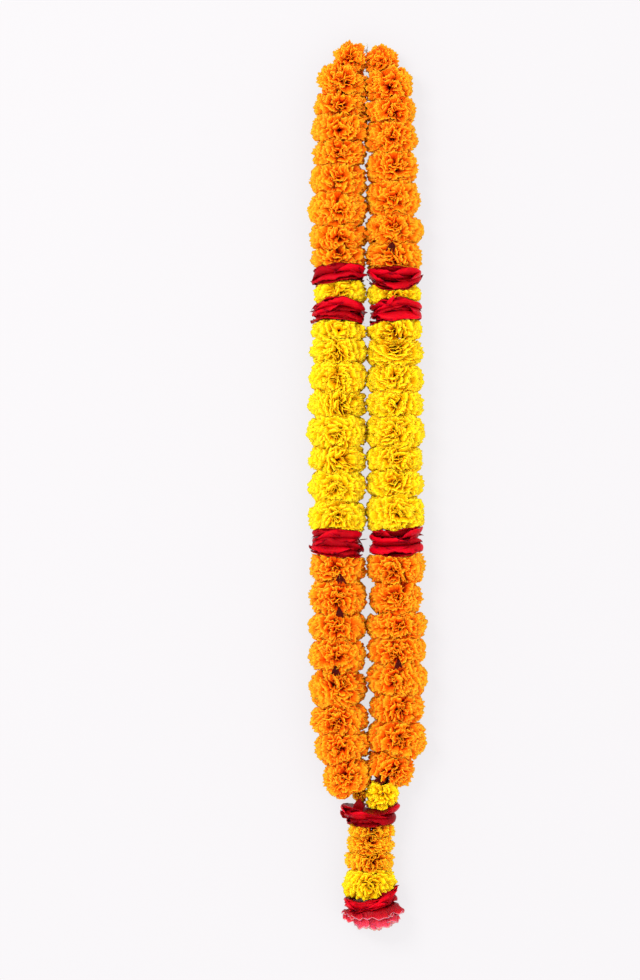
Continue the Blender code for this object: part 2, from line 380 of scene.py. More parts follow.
class Sheets:
    """Thin closed petals gathered into one mesh. Each is a grid of points with a front and a back
    that meet along its rim, so it is thickest in the middle and sharp at its edge."""

    def __init__(self):
        self.parts = []
        self.point_count = 0
        self.cell_count = 0

    def add(self, middles, tones, shade=1):
        """middles is an array of grids: sheet, row from the base to the tip, column, coordinate.
        shade multiplies their depth, so that 0 gives the colour deepest in, which is partly painted shade."""
        sheets, rows, columns = middles.shape[:3]
        normal = units(np.cross(np.gradient(middles, axis=2), np.gradient(middles, axis=1)), NO_AREA)
        u = np.linspace(0, 1, rows)[:, None]
        v = np.linspace(-1, 1, columns)[None, :]
        body = np.sqrt(np.clip((1 - v ** 4) * (1 - (2 * u - 1) ** 8), 0, 1))
        lift = normal * (0.5 * PETAL_THICKNESS * body)[None, :, :, None]
        front = (middles + lift).reshape(sheets, -1, 3)
        back = (middles - lift)[:, 1:-1, 1:-1].reshape(sheets, -1, 3)
        each = np.concatenate([front, back], axis=1)

        front_index = np.arange(rows * columns).reshape(rows, columns)
        back_index = front_index.copy()
        inner = (rows - 2) * (columns - 2)
        back_index[1:-1, 1:-1] = rows * columns + np.arange(inner).reshape(rows - 2, columns - 2)
        front_faces = quads(front_index)
        face = np.concatenate([front_faces, quads(back_index)[:, ::-1]])
        shares = np.meshgrid(np.linspace(0, 1, rows), np.linspace(0, 1, columns), indexing="ij")
        spots = np.stack(shares, -1).reshape(-1, 2)[front_faces]
        spots = np.concatenate([spots, spots[:, ::-1]])
        starts = self.point_count + np.arange(sheets)[:, None, None] * each.shape[1]
        side = np.repeat([0, 1], len(face) // 2)
        cell = self.cell_count + 2 * np.arange(sheets)[:, None] + side[None]
        self.parts.append((each.reshape(-1, 3), (face[None] + starts).reshape(-1, 4),
                           np.tile(spots.reshape(-1, 2), (sheets, 1)), np.repeat(cell.reshape(-1), 4),
                           np.repeat(tones, each.shape[1]), np.full(sheets * each.shape[1], float(shade))))
        self.point_count += sheets * each.shape[1]
        self.cell_count += 2 * sheets

    def build(self, name, material, depth):
        """depth gives each point's share of the way from the thread to the outline; less depth gives a
        darker colour, partly the petals' own and partly painted shade.
        """
        points, faces, corners, cells, tones, shades = map(np.concatenate, zip(*self.parts))
        mesh = bpy.data.meshes.new(name)
        mesh.vertices.add(len(points))
        mesh.vertices.foreach_set("co", points.astype(np.float32).ravel())
        mesh.loops.add(faces.size)
        mesh.loops.foreach_set("vertex_index", faces.astype(np.int32).ravel())
        mesh.polygons.add(len(faces))
        mesh.polygons.foreach_set("loop_start", np.arange(0, faces.size, 4, dtype=np.int32))
        mesh.update(calc_edges=True)
        mesh.shade_smooth()
        grid = math.ceil(math.sqrt(self.cell_count))
        corner_cell = np.stack([cells % grid, cells // grid], -1)
        add_map(mesh, "petal", corners)
        add_map(mesh, "OFBake", (corner_cell + BAKE_MARGIN + (1 - 2 * BAKE_MARGIN) * corners) / grid)
        for attribute, values in (("tone", tones), ("depth", depth(points) * shades)):
            layer = mesh.attributes.new(attribute, "FLOAT", "POINT")
            layer.data.foreach_set("value", np.asarray(values, dtype=np.float32))
        mesh.materials.append(material)
        return in_scene(name, mesh)


def quads(index):
    """The four-cornered faces between the neighbouring entries of a grid."""
    return np.stack([index[:-1, :-1], index[:-1, 1:], index[1:, 1:], index[1:, :-1]], -1).reshape(-1, 4)


def add_map(mesh, name, spots):
    layer = mesh.uv_layers.new(name=name)
    layer.data.foreach_set("uv", spots.astype(np.float32).ravel())


def in_scene(name, data):
    thing = bpy.data.objects.new(name, data)
    bpy.context.scene.collection.objects.link(thing)
    return thing


def part_of_garland(piece):
    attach(piece, BODY)
    return piece


# ---------------------------------------------------------------- petals

# How the petals of one kind of head grow. Lengths in metres, angles in degrees.
Style = namedtuple("Style", "spread curl ruffle waves teeth")
STYLES = {
    "orange": Style(spread=15, curl=24, ruffle=1.3 * MM, waves=1.05, teeth=0.085),
    "yellow": Style(spread=16, curl=18, ruffle=0.8 * MM, waves=0.95, teeth=0.075),
    "amber": Style(spread=12, curl=22, ruffle=0.9 * MM, waves=1.2, teeth=0.09),
}
RUFFLED = 1.4  # how much more the petals of the lower orange heads are ruffled
# The zones of a head about the way its flower faces: a core all round, its rays, its crown, the
# crown's middle and its underside.
# low and high: angles from the way it faces; density: petals for each square centimetre of the
# zone; reach: how far out their tips are; upright: how much less they curl; size: their breadth;
# ruffle: their share of the style's ruffle; roll: how far they turn about their length; rows and
# columns: the points of each petal.
Zone = namedtuple("Zone", "low high density reach upright size ruffle roll rows columns")
ZONES = (
    Zone(low=0, high=180, density=1.2, reach=0.84, upright=0.3,
         size=1.0, ruffle=1.0, roll=24, rows=6, columns=9),
    Zone(low=44, high=130, density=2.7, reach=1.03, upright=0,
         size=1.35, ruffle=0.5, roll=10, rows=9, columns=15),
    Zone(low=0, high=48, density=4.2, reach=1.0, upright=0.2,
         size=0.85, ruffle=1.0, roll=34, rows=9, columns=11),
    Zone(low=0, high=24, density=7.0, reach=0.95, upright=0.5,
         size=0.65, ruffle=1.0, roll=50, rows=7, columns=9),
    Zone(low=130, high=180, density=1.6, reach=0.95, upright=0,
         size=1.0, ruffle=0.6, roll=15, rows=6, columns=9),
)
SQUARE_CENTIMETRE = 1e-4
CROWDING = {"amber": 2.2}  # how much closer than in other heads petals are
SMALL_RADIUS = 20 * MM  # the petals of heads smaller than this are closer too
FEWEST_PETALS = 6
GOLDEN_ANGLE = math.pi * (3 - math.sqrt(5))
CLAW = 0.14  # where a petal begins, as a share of its length
SINK = 0.12  # how far behind its middle a flower's petals grow from, as a share of its radius
FACE_TILT = 16  # degrees that flowers lean from facing straight up
UNEVEN_TILT, UNEVEN_TURN = 0.02, 0.12  # of the petals of a zone: towards its face and round it
ASLANT = (0.3, 1, 0.2)  # a way that no flower faces
TIP_RANGE = (0.92, 1.03)  # how far out tips are, as a share of their zone's reach
TIP_LEVEL = 0.97  # where along the outline a tip's distance out is taken
ALONG_STRETCH = 1.15  # how much further than across it petals reach along the thread
NARROWING = 0.45  # petals that point across the thread by less than this end nearer to it
CURL_VARIES = 0.35
UPRIGHT_CURL = 0.8  # how much of its curl an upright petal loses
LENGTH_SPARE = 1.03  # makes up for what a curl takes off a petal's length

# A petal's fan. Each petal draws its own values from the ranges; rates are radians from its middle
# to its side.
TEETH_RATE = (9, 13)
EVEN_TEETH = 0.5  # the share of the teeth that are evenly spaced
SIDES_FALL, FALL_SHAPE = 0.2, 2.6  # how much shorter a petal is at its sides, and by which power
LOBES, LOBE_RATE = 0.04, 3.2  # the broad lobes of its rim, as a share of its length
OPENING = (0.75, 1.2)  # its spread, as a share of its head's
CLAW_OPENING = 0.6  # and how much of that it has at its claw
RUFFLES = (((0.5, 1.3), (0.75, 1.3), 1), ((0.5, 1.2), (1.7, 2.6), 0.45))  # heights, waves and share
RUFFLE_GROWTH = 2.4  # the powers by which ruffles and the curl grow towards the rim
CURL_GROWTH = 2.2
PLEAT = 0.22 * MM  # how deep the fine folds along a petal are
PLEAT_RATE = (11, 15)
CUP, CUP_MIDDLE = (-0.12, 0.10), 0.35  # how far its sides stand off it, as a share of its length
PHASE = (0, 6)
RUFFLE_PHASE = (0, 6.3)


def shares_over(rows, columns, foot=0):
    """Shares of the way from a petal's foot to its tip, and from its middle to its sides."""
    return np.linspace(foot, 1, rows)[None, :, None], np.linspace(-1, 1, columns)[None, None, :]


def drawn_for(count, rng):
    """A function that draws a value in a range for each petal."""
    return lambda low, high: rng.uniform(low, high, (count, 1, 1))


def fans(length, curl, ruffle, style, zone, rng):
    """Petals in their own axes: across, outwards and off the blade. Each is a fan that opens from
    its claw, with a toothed rim, ruffles that grow towards it, and a curl over its whole length."""
    count = len(length)
    u, v = shares_over(zone.rows, zone.columns, CLAW)
    each = drawn_for(count, rng)
    length, bend = length[:, None, None], np.radians(curl)[:, None, None]
    tooth = rng.uniform(-1, 0, (count, 1, zone.columns))
    tooth = style.teeth * (tooth + EVEN_TEETH * np.cos(each(*TEETH_RATE) * v + each(*PHASE)))
    lobes = LOBES * np.sin(LOBE_RATE * v + each(*PHASE))
    reach = length * (1 - SIDES_FALL * np.abs(v) ** FALL_SHAPE + lobes + tooth * u ** 4)
    spread = np.radians(style.spread * zone.size)
    angle = spread * each(*OPENING) * v * (CLAW_OPENING + (1 - CLAW_OPENING) * u)
    across = u * reach * np.sin(angle)
    outward = u * reach * np.cos(angle)
    wave = sum(share * each(*height) * np.sin(math.pi * each(*rate) * style.waves * v + each(*RUFFLE_PHASE))
               for height, rate, share in RUFFLES)
    pleats = PLEAT * np.sin(each(*PLEAT_RATE) * v + each(*RUFFLE_PHASE))
    off = ruffle * u ** RUFFLE_GROWTH * wave + u * pleats
    off = off + each(*CUP) * length * u * (v ** 2 - CUP_MIDDLE)
    turn = bend * u ** CURL_GROWTH
    swung_out = outward * np.cos(0.5 * turn) - off * np.sin(turn)
    swung_off = outward * np.sin(0.5 * turn) + off * np.cos(turn)
    return np.stack([across, swung_out, swung_off], -1)


def turned(vectors, about, degrees):
    """Each vector turned about its own unit axis."""
    angle = np.radians(degrees)[:, None]
    cosine, sine = np.cos(angle), np.sin(angle)
    dot = (vectors * about).sum(-1, keepdims=True)
    return vectors * cosine + np.cross(about, vectors) * sine + about * dot * (1 - cosine)


def spiral_directions(face, low, high, count, rng):
    """Directions spread evenly about the way the flower faces, between two cosines with it."""
    first = unit(np.cross(face, ASLANT))
    second = np.cross(face, first)
    share = (np.arange(count) + 0.5) / count
    level = np.clip(low + (high - low) * share + rng.normal(0, UNEVEN_TILT, count), -1, 1)
    around = np.arange(count) * GOLDEN_ANGLE + rng.uniform(*PHASE) + rng.normal(0, UNEVEN_TURN, count)
    return np.sqrt(1 - level ** 2)[:, None] * swung(around, first, second) + level[:, None] * face


def zone_petals(place, style, zone, face, rng):
    """The middles of the petals of one zone of a head, in the row frame."""
    way, _, up = axes_of(place)
    centre = middle_of(place)
    half = length_of(place) / 2
    area = FULL_TURN * place.radius * 2 * half
    area = area * CROWDING.get(place.kind, 1) * max(1, SMALL_RADIUS / place.radius)
    low, high = math.cos(math.radians(zone.low)), math.cos(math.radians(zone.high))
    count = max(FEWEST_PETALS, round(zone.density * area * ((low - high) / 2) / SQUARE_CENTIMETRE))
    heading = spiral_directions(face, low, high, count, rng)
    level = heading @ way
    flat = heading - level[:, None] * way
    slant = np.maximum(np.linalg.norm(flat, axis=1), TINY)
    tip_along = np.clip(ALONG_STRETCH * level, -1, 1) * (half + OVERREACH)
    upness = np.clip(flat @ up / slant, 0, 1)
    tip_out = zone.reach * outline_radius(place, TIP_LEVEL * tip_along, upness)
    tip_out = tip_out * np.minimum(1, slant / NARROWING) * rng.uniform(*TIP_RANGE, count)
    longer = TOUCHING_REACH if touching(place) else INNER_REACH
    tip_out = tip_out * (1 + longer * np.clip(inward_of(place) * heading[:, 0], 0, 1))
    base = centre - SINK * place.radius * face
    tip = centre + flat / slant[:, None] * tip_out[:, None] + tip_along[:, None] * way
    length = np.linalg.norm(tip - base, axis=1)
    forward = (tip - base) / length[:, None]
    blade = units(np.cross(face, forward), TINY)
    blade = turned(blade, forward, rng.normal(0, zone.roll, count))
    off = np.cross(blade, forward)
    curl = rng.normal(1 - UPRIGHT_CURL * zone.upright, CURL_VARIES, count) * style.curl
    ruffle = style.ruffle * zone.ruffle * (RUFFLED if place.name.startswith("lower") else 1)
    local = fans(LENGTH_SPARE * length, curl, ruffle, style, zone, rng)
    return (base + local[..., 0:1] * blade[:, None, None, :]
            + local[..., 1:2] * forward[:, None, None, :] + local[..., 2:3] * off[:, None, None, :])


PRESSED_PAINTED_SHADE = 0.3  # how much less depth petals have where they press on the other strand: painted shade, as less depth gives a darker colour


def depth_from_thread(place):
    way = unit(place.end - place.start)
    return lambda points: distance_from_line(points, place.start, way) / place.radius


def depth_with_pressed_shade(place):
    """The share of the way to the outline, and less where the head presses on the other strand, which
    paints shade there.
    """
    depth = depth_from_thread(place)

    def deeper(points):
        inner = np.clip(inward_of(place) * (points[:, 0] - middle_of(place)[0]) / place.radius, 0, 1)
        return depth(points) * (1 - PRESSED_PAINTED_SHADE * inner ** 2)
    return deeper


# Heads whose dark sepals show at their upper end, put there as painted shade for the dark gap above
# the head: where across the head they are, -1 left and 1 right, and how much of their length is above the
# head.
GAP_SHADE_SEPALS = {"upper_orange_right_8": (-0.12, 0.1), "lower_orange_left_2": (0.12, 0.68),
               "lower_orange_left_3": (0.08, 0.6), "lower_orange_left_5": (-0.05, 0.6),
               "lower_orange_right_5": (0.0, 0.6), "junction_yellow_head": (-0.5, 0.75)}
SEPALS = 6
SEPAL_GRID = (6, 5)
SEPAL_LENGTH = 12 * MM
SEPAL_LENGTHS = (0.7, 1.1)  # the range of their lengths, as shares of that
SEPAL_WIDTH = 3.4 * MM
SEPAL_FAN = 26  # degrees that they spread to each side
SEPAL_SWING = 8  # degrees that each may be off
SEPAL_BULGE = 2 * MM


def gap_shade_calyx(place, across, above, rng):
    """Small pointed dark sepals that spread down onto a head from between it and the one above it, as
    painted shade for the gap there.
    """
    way, side, up = axes_of(place)
    u, v = shares_over(*SEPAL_GRID)
    turn = np.linspace(-SEPAL_FAN, SEPAL_FAN, SEPALS) + rng.uniform(-SEPAL_SWING, SEPAL_SWING, SEPALS)
    turn = np.radians(turn)[:, None, None]
    length = SEPAL_LENGTH * rng.uniform(*SEPAL_LENGTHS, (SEPALS, 1, 1))
    forward = length * u
    sideways = 0.5 * SEPAL_WIDTH * v * np.sqrt(1 - u) * (0.5 + u)
    along = forward * np.cos(turn) - sideways * np.sin(turn)
    aside = forward * np.sin(turn) + sideways * np.cos(turn)
    height = math.sqrt(1 - across ** 2) * place.radius - TOP_VALLEY
    height = height + SEPAL_BULGE * (np.sin(u * math.pi) - 0.5)
    foot = place.start - above * SEPAL_LENGTH * way - across * place.radius * side
    return foot + along[..., None] * way - aside[..., None] * side + height[..., None] * up


# The range of petals' tones: in the heads of each strand, and in its lower orange heads and the
# tassel's heads.
STRAND_TONES = {"left": (0.0, 0.65), "right": (0.25, 0.9)}
LOWER_TONES = (0.4, 1.0)
ZONE_TONE = 0.12  # how far off the tone of a head's whole zone may be


def tones_for(place, count, rng):
    side = None if place.name.startswith("lower") else STRAND_OF.get(place.name)
    low, high = STRAND_TONES.get(side, LOWER_TONES)
    return np.clip(rng.uniform(low, high, count) + rng.uniform(-ZONE_TONE, ZONE_TONE), 0, 1)


def flower_head(place, seams, rng):
    """One marigold head: a ball of petals that grow from the thread, its flower facing up."""
    style = STYLES[place.kind]
    way, side, up = axes_of(place)
    lean = np.radians(rng.normal(0, FACE_TILT, 2))
    face = unit(up + math.tan(lean[0]) * side + math.tan(lean[1]) * way)
    sheets = Sheets()
    for zone in ZONES:
        middles = keep_in_place(zone_petals(place, style, zone, face, rng), place, seams)
        sheets.add(middles, tones_for(place, len(middles), rng))
    # dark sepals as painted shade in the gap above the head
    if place.name in GAP_SHADE_SEPALS:
        sheets.add(gap_shade_calyx(place, *GAP_SHADE_SEPALS[place.name], rng), np.zeros(SEPALS), shade=0)
    piece = sheets.build(place.name + "_petals", MATERIALS[place.kind], depth_with_pressed_shade(place))
    return part_of_garland(piece)


# ---------------------------------------------------------------- bands of red petals

BAND_LEAVES = 10  # folded petals wrapped round the thread in a band 25 mm long
BAND_LENGTH = 25 * MM
FEWEST_LEAVES = 8
FEWER_LEAVES = {"tassel_red_band": 6, "tassel_red_petals": 5}
INNER_LEAVES = 7  # shorter ones inside, which close the band
COLLAR_LEAVES = 5  # flat ones at each of its ends
LEAF_GRID = (16, 56)
LEAF_TURN = 0.382  # of the way round the thread from one petal to the next
LEAF_SWING = (-0.5, 0.5)  # radians that each may be off
LEAF_WRAP = (1.1, 1.7)  # radians that it wraps round to each side
LEAF_SIZES = (0.86, 1.0)
BAND_SPREAD = 1.06  # how far its petals reach, as a share of its radius
# How much wider a band's upper edge is than its lower one.
FLARES = {"tassel_red_band": 0.14, "red_band_left_1": 0.04, "tassel_red_petals": 0.05}
# A band's petal from its foot to its rim, as shares of the band's radius.
LEAF_FOOT = 0.3
LEAF_RISE, RISE_END = 0.58, 0.45  # how much further out it goes, and over which share of it
FOLD_START = 0.4  # the share of it where it begins to turn over
FOLD_BULGE = 0.12
ENDS_STAND = 0.12  # how much further out its two ends are
LEAF_WAVE = 0.03
RAGGED_OUT, RAGGED_ALONG = 0.03, 0.8 * MM  # the tears in its rim
# And along the thread, the ranges in mm.
LEAF_MARGIN = 7 * MM  # how far from the band's ends its last petals are
LIPS = (9, 15)  # how far a petal's fold goes
ENDS_TAPER = 0.8
SLANTS = (0.5, 3)
LEAF_RIPPLE = 0.9 * MM


def folded_petals(place, count, rng):
    """The middles of a band's petals. Each lies across the thread, wraps part of the way round it and
    rolls over at its rim, up or down the thread. Its two ends taper and stand out."""
    length = length_of(place)
    rows, columns = LEAF_GRID
    u, v = shares_over(rows, columns)
    total = count + INNER_LEAVES + 2 * COLLAR_LEAVES
    each = drawn_for(total, rng)

    def by_role(leaf, inner, collar):
        """A value for each petal, by whether it is a folded one, an inner one or a collar's."""
        return np.repeat([leaf, inner, collar], [count, INNER_LEAVES, 2 * COLLAR_LEAVES])[:, None, None]

    spread_out = [(np.arange(number) + 0.5) / number - 0.5 for number in (count, INNER_LEAVES)]
    share = np.concatenate(spread_out + [np.repeat([-0.5, 0.5], COLLAR_LEAVES)])[:, None, None]
    facing = FULL_TURN * LEAF_TURN * np.arange(total)[:, None, None] + each(*LEAF_SWING)
    around = facing + each(*LEAF_WRAP) * by_role(1, 1.2, 1) * v
    turn = np.clip((u - FOLD_START) / (1 - FOLD_START), 0, 1)
    ends = np.abs(v) ** 3
    ragged = np.repeat(rng.uniform(-1, 1, (total, 1, columns // 2)), 2, axis=2) * turn ** 4
    size = each(*LEAF_SIZES) * by_role(1, 0.84, 0.93)
    out = LEAF_FOOT + LEAF_RISE * np.sin(np.clip(u / RISE_END, 0, 1) * math.pi / 2)
    out = size * (out + FOLD_BULGE * np.sin(turn * math.pi * 0.8))
    wave = LEAF_WAVE * np.sin(each(2, 5) * around + each(*PHASE))
    out = out + (wave + ENDS_STAND * ends) * u + RAGGED_OUT * ragged
    out = out * (1 - FLARES.get(place.name, 0) * (share + 0.5))
    either_way = np.where(np.abs(share) < 0.2, rng.choice([-1, 1], (total, 1, 1)), 1)
    toward = np.where(share < 0, -1, 1) * either_way
    lip = each(*LIPS) * MM * toward * by_role(1, 0.8, 0.4)
    high = share * (length - LEAF_MARGIN * by_role(1, 1, 0.3)) - 0.5 * lip * u
    high = high + lip * turn * (1 - ENDS_TAPER * ends) + RAGGED_ALONG * ragged
    high = high + u * each(*SLANTS) * MM * np.sin(around + each(*PHASE))
    high = high + LEAF_RIPPLE * u * np.sin(each(3, 6) * around + each(*PHASE))
    above, below = (bent(edge, -out * np.cos(around)) for edge in BENDS[place.name])
    high = high + above + (below - above) * (share + 0.5)
    return round_thread(place, middle_of(place), around, place.radius * out, high)


def round_thread(place, start, around, out, along):
    """Points at angles round the thread, at distances out from it and along it from a start."""
    way, side, up = axes_of(place)
    return start + out[..., None] * swung(around, side, up) + along[..., None] * way


def straight_outline(place, along, upness):
    return np.full_like(along, place.radius)


# Bits that stick out of a band. A foot: shares of its length down from its middle, of its radius to
# the right and up. A way in the same terms, a length, a width and a shade (see Sheets.add).
Stray = namedtuple("Stray", "foot way length width shade")
STRAYS = {
    "tassel_red_band": Stray((-0.25, -0.42, 0.55), (-1, 0.22, 0.1), 14 * MM, 14 * MM, 0.5),
    "tassel_red_petals": Stray((-0.05, 0.30, 0.62), (-0.42, 1, -0.15), 20 * MM, 15 * MM, 0.93),
    "red_band_left_3": Stray((-0.12, 0.88, 0.35), (-0.1, 1, 0.1), 8 * MM, 1.3 * MM, 0),
    "red_band_right_2": Stray((-0.3, -0.30, 0.90), (-0.75, 0.6, 0.3), 13 * MM, 6 * MM, 1),
}
STRAY_GRID = (16, 17)
STRAY_TEARS, STRAY_CUP = 0.02, 0.08  # shares of its width
STRAY_ARCH, STRAY_CORNERS, STRAY_TIP = 0.12, 0.25, 0.05  # shares of its length


def stray_bit(place, stray, rng):
    """A pointed and ruffled sheet that leaves the band at its foot."""
    way, side, up = axes_of(place)
    axes = np.array([way, -side, up])
    size = np.array([length_of(place), place.radius, place.radius])
    foot = middle_of(place) + (np.array(stray.foot) * size) @ axes
    forward = unit(np.array(stray.way) @ axes)
    across = unit(np.cross(forward, up))
    rows, columns = STRAY_GRID
    u = np.linspace(0, 1, rows)[:, None, None]
    v = np.linspace(-1, 1, columns)[None, :, None]
    width = 0.5 * stray.width * np.clip(1.03 - u ** 2, 0, 1) ** 0.8 * (0.7 + 0.5 * u)
    torn = STRAY_TEARS * stray.width * rng.uniform(-1, 1, (rows, 1, 1)) * v ** 3
    length = stray.length * (1 - STRAY_CORNERS * v ** 2 + STRAY_TIP * np.sin(7 * v + 1))
    arch = STRAY_ARCH * stray.length * np.sin(u * math.pi)
    arch = arch + STRAY_CUP * stray.width * u * np.sin(3.5 * v + 0.6)
    return (foot + length * u * forward + (width * v + torn) * across + arch * up)[None]


def petal_band(place, seams, rng):
    """Satin red petals folded about the thread, with their ragged rims turned over."""
    place = place._replace(radius=BAND_SPREAD * place.radius)
    full_count = max(FEWEST_LEAVES, round(BAND_LEAVES * length_of(place) / BAND_LENGTH))
    count = FEWER_LEAVES.get(place.name, full_count)
    middles = keep_in_place(folded_petals(place, count, rng), place, seams, straight_outline)
    sheets = Sheets()
    sheets.add(middles, rng.uniform(0, 1, len(middles)))
    if place.name in STRAYS:
        stray = STRAYS[place.name]
        sheets.add(stray_bit(place, stray, rng), [0.5], stray.shade)
    piece = sheets.build(place.name + "_petals", MATERIALS["red"], depth_from_thread(place))
    return part_of_garland(piece)


# ---------------------------------------------------------------- the pink skirt

# A layer of the skirt: how many petals go round it, its radius and length as shares of the skirt's
# own, how far its rim flares and how deep its broad folds are.
SkirtLayer = namedtuple("SkirtLayer", "petals radius length flare fold")
SKIRT_LAYERS = (
    SkirtLayer(petals=7, radius=0.80, length=1.03, flare=4 * MM, fold=2.0 * MM),
    SkirtLayer(petals=6, radius=0.86, length=0.88, flare=4 * MM, fold=2.6 * MM),
    SkirtLayer(petals=5, radius=0.84, length=0.42, flare=7 * MM, fold=2.8 * MM),
    SkirtLayer(petals=5, radius=0.60, length=0.95, flare=4 * MM, fold=2.0 * MM),
)
SKIRT_GRID = (22, 72)
SKIRT_SPAN = 1.3  # how wide each petal is, as a share of its part of the way round
SKIRT_SWING = (-0.15, 0.15)  # how far each may be off its place, as a share of its width
SKIRT_LENGTHS = (0.86, 1.03)
SKIRT_SIDE_LIFT = 10 * MM  # how much shorter the skirt is at its sides
CORNER_FALL = 0.22  # how much shorter a petal is at its corners, as a share of its length
SKIRT_FOLDS = (5, 7)  # how many broad folds go round the thread
SKIRT_PLEATS = (22, 30)  # how many pleats do
UNEVEN_PLEATS = (40, 60)  # and others between them, in radians over half of the way round
UNEVEN_SHARE = 0.5
SKIRT_PLEAT = 0.55 * MM  # how deep the fine pleats of its petals are
SKIRT_TOOTH = 0.9 * MM
FOLD_TOOTH = 0.6
SKIRT_TUCK = 5 * MM  # how far above its start its petals begin
TUCKED = 0.2  # the share of a petal before it goes down
SKIRT_WAIST, WAIST_END = 0.25, 0.6  # how wide it is at its start, and by which share it is full
SKIRT_SHADE = 0.35  # the depth at its top


def skirt_petals(place, layer, rng):
    """The middles of one layer's petals: pleated fans from the thread out and down to a ragged rim."""
    count = layer.petals
    u, v = shares_over(*SKIRT_GRID)
    each = drawn_for(count, rng)
    facing = FULL_TURN * (np.arange(count)[:, None, None] + each(*SKIRT_SWING)) / count
    facing = facing + rng.uniform(*PHASE)
    around = facing + SKIRT_SPAN * math.pi / count * v * (CLAW_OPENING + (1 - CLAW_OPENING) * u)
    fold = np.sin(each(*SKIRT_FOLDS) * around + each(*PHASE))
    pleat = np.sin(each(*SKIRT_PLEATS) * v * math.pi / count + each(*PHASE))
    pleat = pleat + UNEVEN_SHARE * np.sin(each(*UNEVEN_PLEATS) * v / count + each(*PHASE))
    reach = layer.length * length_of(place) * each(*SKIRT_LENGTHS) * (1 - CORNER_FALL * v ** 4)
    reach = reach - SKIRT_SIDE_LIFT * layer.length * np.abs(np.cos(around)) ** 2.5
    down = (reach + SKIRT_TUCK) * np.clip((u - TUCKED) / (1 - TUCKED), 0, 1) ** 1.2 - SKIRT_TUCK
    down = down + SKIRT_TOOTH * (pleat + FOLD_TOOTH * fold) * u ** 8
    out = SKIRT_WAIST + (1 - SKIRT_WAIST) * np.sin(np.clip(u / WAIST_END, 0, 1) * math.pi / 2)
    out = place.radius * layer.radius * out
    out = out + layer.fold * u ** 2 * fold + SKIRT_PLEAT * u * pleat + layer.flare * u ** 4
    return round_thread(place, place.start, around, out, down)


def depth_down(place):
    """Deep at the skirt's top and bright at its rim."""
    way = place.end - place.start
    return lambda points: SKIRT_SHADE + (1 - SKIRT_SHADE) * ((points - place.start) @ way) / (way @ way)


def frilled_skirt(place, seams, rng):
    """Pink satin petals in pleated layers round the end of the tassel."""
    sheets = Sheets()
    for layer in SKIRT_LAYERS:
        middles = keep_in_place(skirt_petals(place, layer, rng), place, seams, straight_outline)
        sheets.add(middles, rng.uniform(0, 1, len(middles)))
    piece = sheets.build(place.name + "_frills", MATERIALS["pink"], depth_down(place))
    return part_of_garland(piece)


# ---------------------------------------------------------------- the cotton thread

THREAD_SPREAD = 1.2 * MM  # half the distance between the thread's two runs in the tassel
THREAD_HEIGHT_AT_TOP = 18 * MM
THREAD_END = 9 * MM
END_LEAN, END_BOW = 0.07, 0.03  # to the left at its tip and to the right halfway, as shares of it
KNOT_TUCK = 1 * MM
KNOT_HALF = 1.6 * MM
KNOT_POINTS = 60
TURN_BACK = 3 * MM
PLY_RADIUS = 0.34 * MM
PLY_OFFSET = 0.27 * MM
PLY_PITCH = 4 * MM
THREAD_STEP = 0.6 * MM
PLY_SIDES = 6
PLY_MARGIN = 0.05  # round each ply's strip of the map that colours are baked into
CAP_PLACE = 0.02  # where in that margin its two ends are
NEARLY_UP = (0.05, 0.1, 1)  # a way that no part of the route has


def thread_route():
    """The thread's way: its cut end, the left strand, down the tassel and back, the right strand."""
    left, right, tassel = ([PLACES[side][0].start] + [place.end for place in PLACES[side]]
                           for side in ("left", "right", "tassel"))
    knot = np.array([0, left[0][1] - KNOT_TUCK, THREAD_HEIGHT_AT_TOP])
    cut_end = knot + np.array([[-END_LEAN, 1, 0], [END_BOW, 0.5, 0]]) * THREAD_END
    into_knot = knot + np.array([-0.6, 0.4, 0]) * KNOT_HALF
    out_of_knot = knot + np.array([1, -0.4, 0]) * KNOT_HALF
    shift = np.array([THREAD_SPREAD, 0, 0])
    turn_back = tassel[-1] + [0, TURN_BACK, 0]
    down_tassel = [point - shift for point in tassel[:-1]] + [turn_back - shift]
    up_tassel = [turn_back + shift] + [point + shift for point in tassel[-2::-1]]
    return np.array([*cut_end, into_knot, *left, *down_tassel, *up_tassel, *right[::-1], out_of_knot])


def knot_route(middle):
    """The overhand knot that joins the thread's ends, as a small trefoil."""
    t = np.linspace(0, FULL_TURN, KNOT_POINTS)
    trefoil = [np.sin(t) + 2 * np.sin(2 * t), np.cos(t) - 2 * np.cos(2 * t), -np.sin(3 * t)]
    return middle + KNOT_HALF / 3 * np.stack(trefoil, -1)


def even_steps(points, step):
    """The points of a route at even steps along it."""
    gone = np.concatenate([[0], np.cumsum(np.linalg.norm(np.diff(points, axis=0), axis=1))])
    marks = np.linspace(0, gone[-1], max(2, round(gone[-1] / step)))
    return np.stack([np.interp(marks, gone, points[:, i]) for i in range(3)], -1), marks


def ply(points, marks, phase):
    """The rings of one ply, which winds about the route."""
    way = units(np.gradient(points, axis=0))
    across = units(np.cross(way, NEARLY_UP))
    up = np.cross(across, way)
    middle = points + PLY_OFFSET * swung(FULL_TURN * marks / PLY_PITCH + phase, across, up)
    turn = np.linspace(0, FULL_TURN, PLY_SIDES, endpoint=False)
    ring = swung(turn[None], across[:, None], up[:, None])
    return middle[:, None] + PLY_RADIUS * ring


